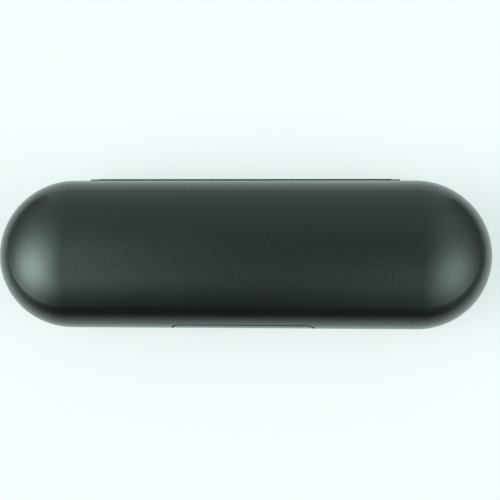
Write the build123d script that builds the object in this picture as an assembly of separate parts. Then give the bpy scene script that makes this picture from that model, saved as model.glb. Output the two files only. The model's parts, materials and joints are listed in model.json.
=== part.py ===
"""Travel case for an electric toothbrush: a hard, pill-shaped case in two hinged halves.

The outline is a stadium and the section is a soft oval with a flat underside. Base and lid part at the
widest level, where a tongue on the base stands in a rebate in the lid. A barrel along the lid's rear edge
turns on two stub pins in the base's end knuckles, and the lid's back comes to rest on a step of those
knuckles when it is open. At the front the lid's edge is notched, and a flush tab on the base fills the
notch up to a gap for the thumbnail. Inside, a tray with a handle cradle and two head pockets sits in
the base, a liner sits in the lid, and two pairs of magnets behind the front edge hold the case shut.

Frame: millimetres, +X along the case, +Y to the hinge, +Z up, origin at the middle of the underside.
Heights in this script are measured from the parting plane, and every piece is lifted at export.
"""

from build123d import *
import math
import os

# ---- Driving dimensions ----
CASE_LENGTH = 231.0
CASE_WIDTH = 70.0
BASE_DEPTH = 21.0  # parting plane to underside, and radius between wall and underside
LID_HEIGHT = 25.0  # parting plane to crown
LID_CORNER = 20.0  # radius between the lid's wall and its crown
WALL = 2.0

HALF_WIDTH = CASE_WIDTH / 2
STRAIGHT = CASE_LENGTH - CASE_WIDTH  # length of the outline's straight sides

# Rim, where lid and base meet
PARTING_GAP = 0.15
EDGE_BREAK = 0.35
RIM_INNER = HALF_WIDTH - WALL
TONGUE_OUTER = RIM_INNER + 0.9
TONGUE_HEIGHT = 1.4
LAP_CLEARANCE = 0.15
REBATE_TOP = TONGUE_HEIGHT + 0.2
LEDGE = 1.1  # how far the seats of tray and liner stand in from the wall
LEDGE_FOOT = REBATE_TOP + 2 * LEDGE  # where the ledge meets the wall

# Hinge
HINGE_Y = HALF_WIDTH + 0.1
BARREL_RADIUS = 1.1
BARREL_HALF_LENGTH = 70.0
BARREL_TOP = 1.2  # height of the barrel's flat top
BARREL_EDGE = 0.3  # radius along the flat's outer edge
KNUCKLE_GAP = 0.2
HINGE_HALF_LENGTH = 74.2
STOP_RADIUS = 1.5  # of the step on the knuckles that the open lid rests on
STOP_GAP = 0.06
OPEN_ANGLE = 115.0
WEB_HEIGHT = 3.2  # of the webs that tie the knuckles to the base's wall
TURNING_CLEARANCE = 0.2
PIN_RADIUS = 0.5
PIN_LENGTH = 11.5
PIN_SINK = 0.3  # below the knuckle's outer face
PIN_CLEARANCE = 0.05

# Thumb notch and tab
NOTCH_HALF_LENGTH = 33.2
NOTCH_HEIGHT = 6.0
NOTCH_CORNER = 4.5
TAB_GAP = 1.0  # along the notch's outline
TAB_INNER = HALF_WIDTH - 2.8
TAB_CLEARANCE = 0.35  # behind the tab

# Moulded inserts
INSERT_WALL = 1.2
INSERT_CLEARANCE = 0.15
TRAY_TOP = INSERT_WALL - REBATE_TOP
LINER_BOTTOM = REBATE_TOP - INSERT_WALL
LINER_EDGE = 32.5
LINER_OPENING = 26.0  # half width of the lid's hollow
LINER_CROWN = LID_HEIGHT - WALL - 1.5
LINER_CORNER = 14.0

# Handle cradle, head pockets and the finger relief between them
HANDLE_AXIS = (11.0, -1.8)
CRADLE_RADIUS = 15.0
CRADLE_HALF_LENGTH = 97.0
HEAD_AXIS = (-17.3, -4.8)
POCKET_RADIUS = 8.6
POCKET_ENDS = (14.0, 95.0)
RELIEF_RADIUS = 9.5
RELIEF_Z = -4.0
RELIEF_FRONT = -26.0
TROUGH_CORNER = 3.0

# Magnets, in pockets behind the front edge
MAGNET_SIZE = (12.0, 2.5, 5.0)
MAGNET_X = 50.0
MAGNET_Y = -30.1
POCKET_WALL = 0.7
GLUE_GAP = 0.05

# Rubber saddles in the cradle and bumpers in the lid
RUBBER_X = 42.0
SADDLE_WIDTH = 9.0
SADDLE_THICKNESS = 0.9
SADDLE_HALF_ANGLE = 50.0
BUMPER_WIDTH = 7.0
BUMPER_SPAN = 20.0
BUMPER_RADIUS = 15.2
STEM_RADIUS = 2.0
STEM_HEAD_RADIUS = 2.9
STEM_HEAD_THICKNESS = 0.7
STEM_CLEARANCE = 0.05

# Vents in the underside and drains in the head pockets
VENT_WIDTH = 1.6
VENT_LENGTH = 14.0
VENT_PITCH = 4.5
VENTS = 5
VENT_GROUP_X = 74.0
DRAIN_WIDTH = 1.4
DRAIN_LENGTH = 7.0
DRAIN_X = (38.0, 54.5, 71.0)

TINY = 0.01


# ---- Forms that several pieces share ----
def arch(half_width, spring, crown, corner, inset=0.0, start=0.0):
    """Corner arc and crown arc of a lid's half section in (radius, height).

    The corner arc is upright at the spring height, the arcs are tangent, and the crown is level on the
    centre line. An inset gives a parallel curve inside; start is how far above the spring it begins.
    """
    across, rise = half_width - corner, crown - spring
    crown_radius = (across**2 + rise**2 - corner**2) / (2 * (rise - corner))
    turn = math.degrees(math.atan2(crown_radius - rise, across))
    first = math.degrees(math.asin(start / (corner - inset)))
    return [
        CenterArc((across, spring), corner - inset, first, turn - first),
        CenterArc((0, crown - crown_radius), crown_radius - inset, turn, 90 - turn),
    ]


def lid_curve(inset=0.0, start=0.0):
    return arch(HALF_WIDTH, 0, LID_HEIGHT, LID_CORNER, inset, start)


def tub(inset=0.0, start=0.0):
    """Corner arc and floor of the base's half section, from the wall inwards.

    An inset gives a parallel curve inside; start is how far below the parting plane it begins.
    """
    centre = (HALF_WIDTH - BASE_DEPTH, 0)
    first = math.degrees(math.asin(start / (BASE_DEPTH - inset)))
    floor = inset - BASE_DEPTH
    return [
        CenterArc(centre, BASE_DEPTH - inset, -first, first - 90),
        Line((centre[0], floor), (0, floor)),
    ]


def banded(outer, inner, rim):
    """Half section between two curves that end on the centre line, closed by a rim from inner to outer."""
    return make_face([*outer, Line(outer[-1] @ 1, inner[-1] @ 1), *inner, rim])


def case_solid(half_section):
    """Carries a half section, drawn in (radius, height), round the stadium outline.

    The straight middle and the two turned ends become one skin, without the faces where they meet.
    """
    half = Plane.YZ.offset(-STRAIGHT / 2) * half_section
    side = extrude(half, STRAIGHT, dir=(1, 0, 0))
    middle = side + mirror(side, Plane.XZ)
    end = revolve(half, Axis((-STRAIGHT / 2, 0, 0), (0, 0, 1)), 180)

    def at_joint(face):
        return face.geom_type == GeomType.PLANE and abs(abs(face.center().X) - STRAIGHT / 2) < TINY

    faces = [face for solid in (middle, end, mirror(end, Plane.YZ)) for face in solid.faces()]
    return Part() + Solid(Shell([face for face in faces if not at_joint(face)]))


def x_prism(profile, x_from, x_to):
    """Extrudes a profile drawn in (Y, Z) from x_from to x_to."""
    return extrude(Plane.YZ.offset(x_from) * profile, x_to - x_from, dir=(1, 0, 0))


def x_cylinder(radius, x_from, x_to, axis=(HINGE_Y, 0.0)):
    return x_prism(Pos(*axis) * Circle(radius), x_from, x_to)


def block(x_span, y_span, z_span):
    """Box between the given limits."""
    spans = (x_span, y_span, z_span)
    size = [high - low for low, high in spans]
    centre = [(high + low) / 2 for low, high in spans]
    return Pos(*centre) * Box(*size)


def both_ends(piece):
    """A piece at the right-hand end with its mirror image at the left-hand end."""
    return piece + mirror(piece, Plane.YZ)


# ---- Hinge ----
def opened(piece):
    """Turns a piece of the lid to the open limit."""
    return piece.rotate(Axis((0, HINGE_Y, 0), (-1, 0, 0)), OPEN_ANGLE)


def lid_barrel():
    """Long barrel on the lid, flat on top."""
    span = (-BARREL_HALF_LENGTH, BARREL_HALF_LENGTH)
    root = HALF_WIDTH - 2 * EDGE_BREAK
    flat = block(span, (root, HINGE_Y + BARREL_RADIUS), (PARTING_GAP, BARREL_TOP))
    outer_edge = flat.edges().filter_by(Axis.X).group_by(Axis.Z)[-1].sort_by(Axis.Y)[-1]
    return x_cylinder(BARREL_RADIUS, *span) + fillet(outer_edge, BARREL_EDGE)


def barrel_bores():
    """Holes in the ends of the barrel that turn on the stub pins."""
    inner_end = HINGE_HALF_LENGTH - PIN_SINK - PIN_LENGTH - 2 * PIN_CLEARANCE
    return both_ends(x_cylinder(PIN_RADIUS + PIN_CLEARANCE, inner_end, BARREL_HALF_LENGTH))


def knuckle_holes():
    """Holes in the end knuckles that grip the stub pins."""
    return both_ends(x_cylinder(PIN_RADIUS, BARREL_HALF_LENGTH, HINGE_HALF_LENGTH))


def base_knuckle():
    """End knuckle at the right, with the step that stops the lid, on a web."""
    span = (BARREL_HALF_LENGTH + KNUCKLE_GAP, HINGE_HALF_LENGTH)
    root = HALF_WIDTH - WALL / 2
    slope_start = (HINGE_Y + STOP_RADIUS * 0.6, -STOP_RADIUS * 0.8)
    web = Polygon(
        (root, 0), (HINGE_Y, 0), slope_start, (HALF_WIDTH - EDGE_BREAK, -WEB_HEIGHT), (root, -WEB_HEIGHT),
        align=None,
    )
    lid_back = block((0, CASE_LENGTH), (-HALF_WIDTH, HALF_WIDTH + STOP_GAP), (0, CASE_WIDTH))
    above = block((0, CASE_LENGTH), (0, CASE_WIDTH), (0, CASE_WIDTH))
    step = x_cylinder(STOP_RADIUS, *span) + x_prism(web, *span)
    return step - opened(lid_back) - above + x_cylinder(BARREL_RADIUS, *span)


def hinge_pin():
    """Stub pin at the right, with rounded ends."""
    outer_end = HINGE_HALF_LENGTH - PIN_SINK
    pin = x_cylinder(PIN_RADIUS, outer_end - PIN_LENGTH, outer_end)
    return chamfer(pin.edges().filter_by(GeomType.CIRCLE), 0.15)


# ---- Thumb notch and tab ----
def notch_prism(inset, inner_face):
    """Round-cornered prism through the front edge, from its inner face outwards."""
    half, top = NOTCH_HALF_LENGTH - inset, NOTCH_HEIGHT - inset
    foot = -NOTCH_HEIGHT / 2
    outline = Pos(0, (top + foot) / 2) * Rectangle(2 * half, top - foot)
    upper_corners = outline.vertices().group_by(Axis.Y)[-1]
    outline = fillet(upper_corners, NOTCH_CORNER - inset)
    return extrude(Plane.XZ.offset(inner_face) * outline, CASE_WIDTH / 10)


def notch():
    """What the lid, its liner and the tray leave free for the tab."""
    return notch_prism(0, TAB_INNER - TAB_CLEARANCE)


def thumb_tab():
    """Upstand on the base that fills the lid's notch, flush with the case's outline."""
    above, below = lid_curve(), tub()
    outline = make_face([*above, *below, Line(below[-1] @ 1, above[-1] @ 1)])
    front = mirror(x_prism(outline, -NOTCH_HALF_LENGTH, NOTCH_HALF_LENGTH), Plane.XZ)
    return front & notch_prism(TAB_GAP, TAB_INNER)


# ---- Magnets and their pockets ----
def magnet(side):
    """Magnet at the right, just below the tray's rim (side -1) or above the liner's rim (side 1)."""
    seat = REBATE_TOP if side > 0 else -REBATE_TOP
    return Pos(MAGNET_X, MAGNET_Y, seat + side * MAGNET_SIZE[2] / 2) * Box(*MAGNET_SIZE)


def magnet_pockets(side):
    """Boss and hollow for both magnets of one half of the case."""
    length, thickness, depth = (size / 2 for size in MAGNET_SIZE)
    hollow_size = [size + 2 * GLUE_GAP for size in MAGNET_SIZE]
    hollow = Pos(MAGNET_X, MAGNET_Y, side * (REBATE_TOP + depth)) * Box(*hollow_size)
    heights = sorted((side * REBATE_TOP, side * (REBATE_TOP + 2 * depth + POCKET_WALL)))
    boss = block(
        (MAGNET_X - length - POCKET_WALL, MAGNET_X + length + POCKET_WALL),
        (MAGNET_Y - thickness - WALL, MAGNET_Y + thickness + POCKET_WALL),
        heights,
    )
    return both_ends(boss), both_ends(hollow)


# ---- Shells ----
def base_section():
    outer, inner = tub(0, EDGE_BREAK), tub(WALL, LEDGE_FOOT)
    rim = Polyline(
        inner[0] @ 0,
        (RIM_INNER - LEDGE, -REBATE_TOP - LEDGE),
        (RIM_INNER - LEDGE, -REBATE_TOP),
        (RIM_INNER, -REBATE_TOP),
        (RIM_INNER, TONGUE_HEIGHT),
        (TONGUE_OUTER, TONGUE_HEIGHT),
        (TONGUE_OUTER, 0),
        (HALF_WIDTH - EDGE_BREAK, 0),
        outer[0] @ 0,
    )
    return banded(outer, inner, rim)


def lid_section():
    outer, inner = lid_curve(0, PARTING_GAP + EDGE_BREAK), lid_curve(WALL, LEDGE_FOOT)
    rim = Polyline(
        inner[0] @ 0,
        (RIM_INNER - LEDGE, REBATE_TOP + LEDGE),
        (RIM_INNER - LEDGE, REBATE_TOP),
        (TONGUE_OUTER + LAP_CLEARANCE, REBATE_TOP),
        (TONGUE_OUTER + LAP_CLEARANCE, PARTING_GAP),
        (HALF_WIDTH - EDGE_BREAK, PARTING_GAP),
        outer[0] @ 0,
    )
    return banded(outer, inner, rim)


def vents():
    """Two groups of slots through the underside."""
    slot = Rot(Z=90) * extrude(SlotOverall(VENT_LENGTH, VENT_WIDTH), 3 * WALL)
    first_x = VENT_GROUP_X - VENT_PITCH * (VENTS - 1) / 2
    group = [Pos(first_x + VENT_PITCH * n, 0, -BASE_DEPTH - WALL) * slot for n in range(VENTS)]
    return both_ends(Part() + group)


def base_shell():
    boss, hollow = magnet_pockets(-1)
    clearance = BARREL_RADIUS + TURNING_CLEARANCE
    trough = x_cylinder(clearance, -BARREL_HALF_LENGTH - KNUCKLE_GAP, BARREL_HALF_LENGTH + KNUCKLE_GAP)
    shell = case_solid(base_section()) - trough
    shell = shell + both_ends(base_knuckle()) - knuckle_holes() + boss - hollow
    return shell + thumb_tab() - vents()


def lid_shell():
    boss, hollow = magnet_pockets(1)
    clearance = BARREL_RADIUS + TURNING_CLEARANCE
    pocket = x_cylinder(clearance, BARREL_HALF_LENGTH, HINGE_HALF_LENGTH + KNUCKLE_GAP)
    shell = case_solid(lid_section()) + boss - hollow
    return shell - both_ends(pocket) + lid_barrel() - barrel_bores() - notch()


# ---- Tray and liner ----
def trough(axis, radius, x_from, x_to, corner):
    """Trough, half round below its axis and upright above it, with bevelled corners at its ends."""
    profile = Circle(radius) + Pos(0, BASE_DEPTH / 2) * Rectangle(2 * radius, BASE_DEPTH)
    solid = x_prism(Pos(*axis) * profile, x_from, x_to)
    top = axis[1] + BASE_DEPTH
    ends = solid.faces().filter_by(Axis.X)
    edges = [edge for end in ends for edge in end.edges() if edge.center().Z < top - TINY]
    return chamfer(edges, corner)


def tray_hollows(growth):
    """Cradle, head pockets and finger relief, grown by a wall thickness."""

    def grown(axis, radius, x_from, x_to):
        return trough(axis, radius + growth, x_from - growth, x_to + growth, TROUGH_CORNER + growth)

    cradle = grown(HANDLE_AXIS, CRADLE_RADIUS, -CRADLE_HALF_LENGTH, CRADLE_HALF_LENGTH)
    pocket = grown(HEAD_AXIS, POCKET_RADIUS, *POCKET_ENDS)
    relief = Rot(Z=90) * grown((0, RELIEF_Z), RELIEF_RADIUS, RELIEF_FRONT, HANDLE_AXIS[0])
    return cradle + both_ends(pocket) + relief


def drains():
    """Slots through the bottoms of the head pockets."""
    slot = Rot(Z=90) * extrude(SlotOverall(DRAIN_LENGTH, DRAIN_WIDTH), -BASE_DEPTH)
    row = [Pos(x, HEAD_AXIS[0], HEAD_AXIS[1]) * slot for x in DRAIN_X]
    return both_ends(Part() + row)


def below(height):
    """Everything in the case's box below a height."""
    return block((-CASE_LENGTH, CASE_LENGTH), (-CASE_WIDTH, CASE_WIDTH), (height - CASE_WIDTH, height))


def base_tray():
    edge = RIM_INNER - INSERT_CLEARANCE
    deck_edge = Polyline(
        (0, TRAY_TOP - INSERT_WALL),
        (edge, TRAY_TOP - INSERT_WALL),
        (edge, TRAY_TOP - EDGE_BREAK),
        (edge - EDGE_BREAK, TRAY_TOP),
        (0, TRAY_TOP),
        close=True,
    )
    bowls = tray_hollows(INSERT_WALL) & below(TRAY_TOP - INSERT_WALL)
    tray = case_solid(make_face(deck_edge)) + bowls - tray_hollows(0) - drains()
    return tray - notch() - both_ends(saddle_stem(STEM_CLEARANCE))


def liner_curve(inset):
    return arch(LINER_OPENING + INSERT_WALL, REBATE_TOP, LINER_CROWN, LINER_CORNER, inset)


def lid_liner():
    """Lining of the lid: a rim that covers the magnets and a smooth hollow over the toothbrush."""
    outer, inner = liner_curve(0), liner_curve(INSERT_WALL)
    rim = Polyline(
        inner[0] @ 0,
        (LINER_OPENING, LINER_BOTTOM),
        (LINER_EDGE, LINER_BOTTOM),
        (LINER_EDGE, REBATE_TOP),
        outer[0] @ 0,
    )
    return case_solid(banded(outer, inner, rim)) - notch()


# ---- Rubber parts ----
def saddle_stem(clearance):
    """Stem of a saddle, through the bottom of the cradle."""
    y, z = HANDLE_AXIS
    bottom = z - CRADLE_RADIUS - INSERT_WALL
    return Pos(RUBBER_X, y, bottom + INSERT_WALL) * Cylinder(STEM_RADIUS + clearance, 4 * INSERT_WALL)


def handle_saddle():
    """Rubber strip at the right that the handle lies on, with a button-headed stem."""
    y, z = HANDLE_AXIS
    span = (RUBBER_X - SADDLE_WIDTH / 2, RUBBER_X + SADDLE_WIDTH / 2)
    ring = x_cylinder(CRADLE_RADIUS, *span, HANDLE_AXIS)
    spread = CRADLE_RADIUS * math.sin(math.radians(SADDLE_HALF_ANGLE))
    drop = CRADLE_RADIUS * math.cos(math.radians(SADDLE_HALF_ANGLE))
    strip = ring & block(span, (y - spread, y + spread), (z - CRADLE_RADIUS, z - drop))
    inner = x_cylinder(CRADLE_RADIUS - SADDLE_THICKNESS, *span, HANDLE_AXIS)
    bottom = z - CRADLE_RADIUS - INSERT_WALL
    stem = Pos(RUBBER_X, y, bottom + INSERT_WALL / 2) * Cylinder(STEM_RADIUS, INSERT_WALL + SADDLE_THICKNESS)
    head_centre = Pos(RUBBER_X, y, bottom - STEM_HEAD_THICKNESS / 2)
    head = head_centre * Cylinder(STEM_HEAD_RADIUS, STEM_HEAD_THICKNESS)
    return strip - inner + stem + head


def lid_bumper():
    """Rubber block at the right that holds the handle down, moulded to the liner."""
    y, z = HANDLE_AXIS
    span = (RUBBER_X - BUMPER_WIDTH / 2, RUBBER_X + BUMPER_WIDTH / 2)
    inner = liner_curve(INSERT_WALL)
    foot = Polyline(inner[-1] @ 1, (0, REBATE_TOP), inner[0] @ 0)
    across = block(span, (y - BUMPER_SPAN / 2, y + BUMPER_SPAN / 2), (z, LINER_CROWN))
    pad = x_prism(make_face([*inner, foot]), *span) & across
    return pad - x_cylinder(BUMPER_RADIUS, *span, HANDLE_AXIS)


# ---- The pieces ----
def pieces():
    """Every piece by name; left is towards -X."""
    single = {
        "base_shell": base_shell(),
        "base_tray": base_tray(),
        "lid_shell": lid_shell(),
        "lid_liner": lid_liner(),
    }
    paired = {
        "hinge_pin": hinge_pin(),
        "handle_saddle": handle_saddle(),
        "base_magnet": magnet(-1),
        "lid_magnet": magnet(1),
        "lid_bumper": lid_bumper(),
    }
    for name, piece in paired.items():
        single[f"{name}_right"] = piece
        single[f"{name}_left"] = mirror(piece, Plane.YZ)
    return single


os.makedirs("parts", exist_ok=True)
for name, piece in pieces().items():
    export_step(Pos(0, 0, BASE_DEPTH) * piece, f"parts/{name}.step")
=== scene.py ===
"""Looks of the toothbrush travel case: the finish of every piece, the floor, the light, the camera.

Lengths are in metres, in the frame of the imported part: +X along the case, +Y to the hinge, +Z up.
Colours are linear RGB.
"""

import json
import math

import bpy
from mathutils import Matrix, Vector

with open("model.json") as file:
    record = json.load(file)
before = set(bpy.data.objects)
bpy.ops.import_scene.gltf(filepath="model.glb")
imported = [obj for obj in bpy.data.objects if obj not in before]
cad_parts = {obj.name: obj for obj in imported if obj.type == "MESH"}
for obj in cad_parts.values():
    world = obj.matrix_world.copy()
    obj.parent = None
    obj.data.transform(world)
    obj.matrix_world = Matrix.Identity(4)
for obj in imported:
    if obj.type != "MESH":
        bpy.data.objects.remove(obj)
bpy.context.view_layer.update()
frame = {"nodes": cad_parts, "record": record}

MM = 0.001

# ---- Camera, from the photograph's perspective ----
PARTING_HEIGHT = 21 * MM  # of the level where lid and base meet
CAMERA_DISTANCE = 377 * MM  # from the middle of the case at that level
CAMERA_ELEVATION = math.radians(80.04)
CAMERA_AZIMUTH = math.radians(15.79)  # from the front to the right
CAMERA_ROLL = math.radians(0.54)
CAMERA_AIM = Vector((2.98 * MM, 1.84 * MM, PARTING_HEIGHT))
CAMERA_LENS = 57.42  # mm, on Blender's 36 mm sensor
CAMERA_NEAR_LIMIT = 10 * MM

# ---- Finishes ----
NOISE_RANGE = (0.3, 0.7)  # which most of a noise texture's values lie in
PLASTIC_IOR = 1.5
CASE_REFLECTION = (0.72, 1.0, 0.9)
CASE_COAT_ROUGHNESS = 0.3

# ---- Floor ----
FLOOR_SIZE = 12.0
FLOOR_COLOUR = (0.425, 0.38, 0.385)
FLOOR_ROUGHNESS = 0.9
FLOOR_SEEN = 0.62  # glow for the camera, which lightens the shadow
SEEN_COLOUR = (0.865, 0.99, 0.98)
FLOOR_MIRRORED = 0.45  # glow for reflections in the case
MIRRORED_COLOUR = (0.71, 1.0, 0.97)
MIRRORED_FADE = (-125 * MM, -40 * MM)  # along Y, from none of that glow to all of it

# ---- Cards that end the floor's glow in the gloss ----
FLAG_COLOUR = (0.005, 0.005, 0.005)
FLAG_HEIGHT = 60 * MM
FLAG_LINE = (  # X and Y, from the rear left round the front to the rear right
    (-200 * MM, 184 * MM),
    (-280 * MM, 110 * MM),
    (-280 * MM, -175 * MM),
    (275 * MM, -175 * MM),
    (275 * MM, 110 * MM),
    (200 * MM, 184 * MM),
)

# ---- Light ----
LIGHT_TINT = (0.87, 1.0, 1.0)
BACKDROP_COLOUR = (0.91, 0.99, 0.99)  # which the camera sees instead of the lights
WALL_LEVELS = ((0.0, 0.67), (0.15, 0.54), (0.5, 0.47), (1.0, 0.33))  # by sine of elevation
WALL_FADE = (-0.38, 1.0)  # along Y of a direction, from the dark front to the whole wall
SOFT_LIGHTS = (  # azimuth (0 right, 90 behind), elevation, spread across and up, level
    (199, 34.5, 0.365, 0.38, 5.4),  # broad, at the left-hand end
    (-25, 37, 0.465, 0.37, 2.9),  # broad, at the right-hand end
    (166, 44.5, 0.39, 0.40, 1.15),
    (234, 48, 0.18, 0.28, 0.85),
    (180, 66, 0.16, 0.16, 0.5),
    (40, 42, 0.34, 0.35, 0.32),
)

# ---- Colour sockets of a Mix node, by number because others share their names ----
MIX_A = 6
MIX_B = 7
MIX_RESULT = 2


# ---- Node helpers ----
def opaque(colour):
    """RGB as the RGBA that colour sockets take."""
    return (*colour, 1.0)


def node(tree, kind, inputs, **settings):
    """Adds a shader node; inputs are values or sockets by name or number."""
    made = tree.nodes.new(kind)
    for key, value in settings.items():
        setattr(made, key, value)
    for key, value in inputs.items():
        if isinstance(value, bpy.types.NodeSocket):
            tree.links.new(value, made.inputs[key])
        else:
            made.inputs[key].default_value = value
    return made


def calculate(tree, operation, *values):
    """Result of a Math node."""
    return node(tree, "ShaderNodeMath", dict(enumerate(values)), operation=operation).outputs[0]


def combine(tree, operation, *vectors):
    """Outputs of a Vector Math node."""
    inputs = dict(enumerate(vectors))
    return node(tree, "ShaderNodeVectorMath", inputs, operation=operation).outputs


def mix(tree, factor, first, second):
    """Colour that goes from first to second as factor goes from 0 to 1."""
    inputs = {"Factor": factor, MIX_A: first, MIX_B: second}
    return node(tree, "ShaderNodeMix", inputs, data_type="RGBA").outputs[MIX_RESULT]


class Finish:
    """A Principled material, with short calls for the nodes that vary it over the surface.

    Textures are placed by the object's own coordinates, so scales are features per metre.
    """

    def __init__(self, name, colour, roughness, metallic=0.0, specular=0.5, tint=(1, 1, 1)):
        self.material = bpy.data.materials.new(name)
        self.material.use_nodes = True
        self.tree = self.material.node_tree
        self.shader = self.tree.nodes["Principled BSDF"]
        self.place = self.tree.nodes.new("ShaderNodeTexCoord").outputs["Object"]
        self.set({
            "Base Color": opaque(colour),
            "Roughness": roughness,
            "Metallic": metallic,
            "Specular IOR Level": specular,
            "Specular Tint": opaque(tint),
        })

    def set(self, values):
        """Gives the shader's own sockets values that are the same all over."""
        for name, value in values.items():
            self.shader.inputs[name].default_value = value

    def link(self, source, name):
        """Lets a node's output drive one of the shader's sockets."""
        self.tree.links.new(source, self.shader.inputs[name])

    def node(self, kind, inputs, **settings):
        return node(self.tree, kind, inputs, **settings)

    def noise(self, scale, detail, stretch=(1, 1, 1)):
        """Soft noise from 0 to 1; stretch lengthens its features along X, Y or Z."""
        squeeze = [1 / amount for amount in stretch]
        mapped = self.node("ShaderNodeMapping", {"Vector": self.place, "Scale": squeeze})
        inputs = {"Vector": mapped.outputs[0], "Scale": scale, "Detail": detail}
        return self.node("ShaderNodeTexNoise", inputs).outputs[0]

    def spread(self, source, low, high):
        """Takes a noise's usual range to low and high."""
        usual_low, usual_high = NOISE_RANGE
        inputs = {
            "Value": source,
            "From Min": usual_low,
            "From Max": usual_high,
            "To Min": low,
            "To Max": high,
        }
        return self.node("ShaderNodeMapRange", inputs).outputs[0]

    def colours(self, source, dark, light):
        """Base colour from dark to light over a noise."""
        colour = mix(self.tree, self.spread(source, 0, 1), opaque(dark), opaque(light))
        self.link(colour, "Base Color")

    def roughness(self, source, low, high):
        """Roughness from low to high over a noise."""
        self.link(self.spread(source, low, high), "Roughness")

    def bump(self, source, depth, strength=1.0):
        """Relief of a noise."""
        inputs = {"Height": source, "Distance": depth, "Strength": strength}
        normal = self.node("ShaderNodeBump", inputs).outputs[0]
        self.link(normal, "Normal")
        return normal


# ---- Finishes of the pieces ----
def case_plastic():
    """Near-black moulding with a slight green cast and a fine spark-eroded texture."""
    finish = Finish("case_plastic", (0.0045, 0.0065, 0.0052), 0.29, tint=CASE_REFLECTION)
    finish.set({
        "IOR": PLASTIC_IOR,
        "Coat Weight": 1.0,
        "Coat IOR": PLASTIC_IOR,
        "Coat Roughness": CASE_COAT_ROUGHNESS,
    })
    grain = finish.noise(1900, 4)
    finish.colours(finish.noise(60, 4), (0.004, 0.006, 0.0048), (0.005, 0.007, 0.0056))
    finish.roughness(grain, 0.24, 0.34)
    finish.link(finish.bump(grain, 0.066 * MM), "Coat Normal")
    return finish.material


def insert_plastic():
    """Dark grey satin moulding of the tray and the lining."""
    finish = Finish("insert_plastic", (0.05, 0.055, 0.057), 0.36)
    finish.colours(finish.noise(45, 3), (0.045, 0.05, 0.052), (0.056, 0.061, 0.063))
    finish.roughness(finish.noise(900, 3), 0.32, 0.41)
    finish.bump(finish.noise(3200, 2), 0.01 * MM, strength=0.5)
    return finish.material


def rubber():
    """Matt grey elastomer with a dry, slightly dusty surface."""
    finish = Finish("rubber", (0.035, 0.037, 0.04), 0.75)
    finish.colours(finish.noise(350, 4), (0.03, 0.032, 0.034), (0.045, 0.047, 0.05))
    finish.roughness(finish.noise(1200, 2), 0.68, 0.82)
    finish.bump(finish.noise(2600, 3), 0.03 * MM, strength=0.7)
    return finish.material


def magnet_nickel():
    """Bright nickel plating with faint handling marks."""
    finish = Finish("magnet_nickel", (0.62, 0.60, 0.56), 0.2, metallic=1.0)
    finish.colours(finish.noise(220, 3), (0.58, 0.56, 0.52), (0.66, 0.64, 0.60))
    finish.roughness(finish.noise(700, 4, stretch=(6, 1, 1)), 0.15, 0.30)
    return finish.material


def pin_steel():
    """Drawn steel, with fine lines along the pin."""
    finish = Finish("pin_steel", (0.55, 0.55, 0.56), 0.3, metallic=1.0)
    lines = finish.noise(5000, 3, stretch=(40, 1, 1))
    finish.colours(lines, (0.48, 0.48, 0.49), (0.60, 0.60, 0.61))
    finish.roughness(lines, 0.24, 0.38)
    finish.bump(lines, 0.005 * MM, strength=0.5)
    return finish.material


def finish_pieces():
    """Gives each node the finish of its slot in the record."""
    makers = (case_plastic, insert_plastic, rubber, magnet_nickel, pin_steel)
    finishes = {maker.__name__: maker() for maker in makers}
    for subpart in frame["record"]["subparts"]:
        piece = frame["nodes"][subpart["node"]]
        piece.data.materials.clear()
        piece.data.materials.append(finishes[subpart["material_slot"]])


# ---- Floor, light and camera ----
def plane(name, corners, finish):
    """Adds a flat four-cornered piece that isn't part of the object."""
    mesh = bpy.data.meshes.new(name)
    mesh.from_pydata(corners, [], [(0, 1, 2, 3)])
    mesh.materials.append(finish.material)
    card = bpy.data.objects.new(name, mesh)
    bpy.context.scene.collection.objects.link(card)
    return card


def floor():
    """Plain pale surface that the case stands on, which glows for the camera and in the gloss."""
    finish = Finish("floor", FLOOR_COLOUR, FLOOR_ROUGHNESS, specular=0.0)
    tree = finish.tree
    rays = tree.nodes.new("ShaderNodeLightPath").outputs
    seen = calculate(tree, "MULTIPLY", rays["Is Camera Ray"], FLOOR_SEEN)
    fade_start, fade_end = MIRRORED_FADE
    mirrored = finish.node("ShaderNodeMapRange", {
        "Value": finish.node("ShaderNodeSeparateXYZ", {"Vector": finish.place}).outputs["Y"],
        "From Min": fade_start,
        "From Max": fade_end,
        "To Max": FLOOR_MIRRORED,
    }).outputs[0]
    glow = calculate(tree, "MULTIPLY_ADD", rays["Is Glossy Ray"], mirrored, seen)
    colour = mix(tree, rays["Is Glossy Ray"], opaque(SEEN_COLOUR), opaque(MIRRORED_COLOUR))
    finish.link(colour, "Emission Color")
    finish.link(glow, "Emission Strength")
    half = FLOOR_SIZE / 2
    plane("floor", [(-half, -half, 0), (half, -half, 0), (half, half, 0), (-half, half, 0)], finish)


def flags():
    """Dark cards in front and at the ends, which only reflections see."""
    dark = Finish("flag", FLAG_COLOUR, 1.0, specular=0.0)
    for number, (start, end) in enumerate(zip(FLAG_LINE, FLAG_LINE[1:])):
        foot = [(*start, 0), (*end, 0)]
        top = [(*end, FLAG_HEIGHT), (*start, FLAG_HEIGHT)]
        card = plane(f"flag_{number}", foot + top, dark)
        card.visible_camera = False
        card.visible_diffuse = False
        card.visible_shadow = False


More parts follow.
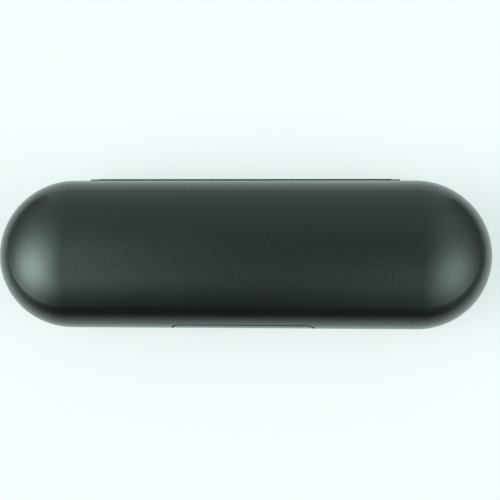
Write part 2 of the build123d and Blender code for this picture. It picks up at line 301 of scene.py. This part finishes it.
def wall(tree, direction):
    """Level of a pale back wall that gives way to a dark front."""
    split = node(tree, "ShaderNodeSeparateXYZ", {"Vector": direction}).outputs
    ramp = node(tree, "ShaderNodeValToRGB", {0: split["Z"]})
    ramp.color_ramp.interpolation = "EASE"
    elements = ramp.color_ramp.elements
    while len(elements) < len(WALL_LEVELS):
        elements.new(0.5)  # put in its place below
    for element, (position, level) in zip(elements, WALL_LEVELS):
        element.position = position
        element.color = opaque((level, level, level))
    front, back = WALL_FADE
    fade = {"Value": split["Y"], "From Min": front, "From Max": back}
    share = node(tree, "ShaderNodeMapRange", fade, interpolation_type="SMOOTHSTEP")
    return calculate(tree, "MULTIPLY", ramp.outputs[0], share.outputs[0])


def soft_light(tree, direction, azimuth, elevation, across, up, level):
    """Level of a soft-edged light, brightest in one direction."""
    turn, lift = math.radians(azimuth), math.radians(elevation)
    flat = math.cos(lift)
    centre = (math.cos(turn) * flat, math.sin(turn) * flat, math.sin(lift))
    offset = combine(tree, "SUBTRACT", direction, centre)[0]
    scaled = combine(tree, "DIVIDE", offset, (across, across, up))[0]
    square = combine(tree, "DOT_PRODUCT", scaled, scaled)["Value"]
    glow = calculate(tree, "EXPONENT", calculate(tree, "MULTIPLY", square, -1.0))
    return calculate(tree, "MULTIPLY", glow, level)


def room():
    """Lights the case with the wall and the soft lights, and shows the camera a plain backdrop."""
    world = bpy.data.worlds.new("room")
    world.use_nodes = True
    bpy.context.scene.world = world
    tree = world.node_tree
    direction = tree.nodes.new("ShaderNodeTexCoord").outputs["Generated"]
    level = wall(tree, direction)
    for values in SOFT_LIGHTS:
        level = calculate(tree, "ADD", level, soft_light(tree, direction, *values))
    inputs = {0: LIGHT_TINT, "Scale": level}
    light = node(tree, "ShaderNodeVectorMath", inputs, operation="SCALE").outputs[0]
    to_camera = tree.nodes.new("ShaderNodeLightPath").outputs["Is Camera Ray"]
    colour = mix(tree, to_camera, light, opaque(BACKDROP_COLOUR))
    tree.links.new(colour, tree.nodes["Background"].inputs["Color"])


def camera():
    """Looks steeply down from the front, with the case level across the picture."""
    level = math.cos(CAMERA_ELEVATION)
    from_case = Vector((
        math.sin(CAMERA_AZIMUTH) * level,
        -math.cos(CAMERA_AZIMUTH) * level,
        math.sin(CAMERA_ELEVATION),
    ))
    place = Vector((0, 0, PARTING_HEIGHT)) + from_case * CAMERA_DISTANCE
    forward = (CAMERA_AIM - place).normalized()
    right = forward.cross(Vector((0, 1, 0))).normalized()
    upright = Matrix((right, right.cross(forward), -forward)).transposed()
    turned = upright @ Matrix.Rotation(CAMERA_ROLL, 3, "Z")
    data = bpy.data.cameras.new("camera")
    data.lens = CAMERA_LENS
    data.clip_start = CAMERA_NEAR_LIMIT
    viewer = bpy.data.objects.new("camera", data)
    viewer.matrix_world = Matrix.Translation(place) @ turned.to_4x4()
    bpy.context.scene.collection.objects.link(viewer)
    bpy.context.scene.camera = viewer


finish_pieces()
floor()
flags()
room()
camera()
bpy.context.scene.view_settings.view_transform = "Standard"
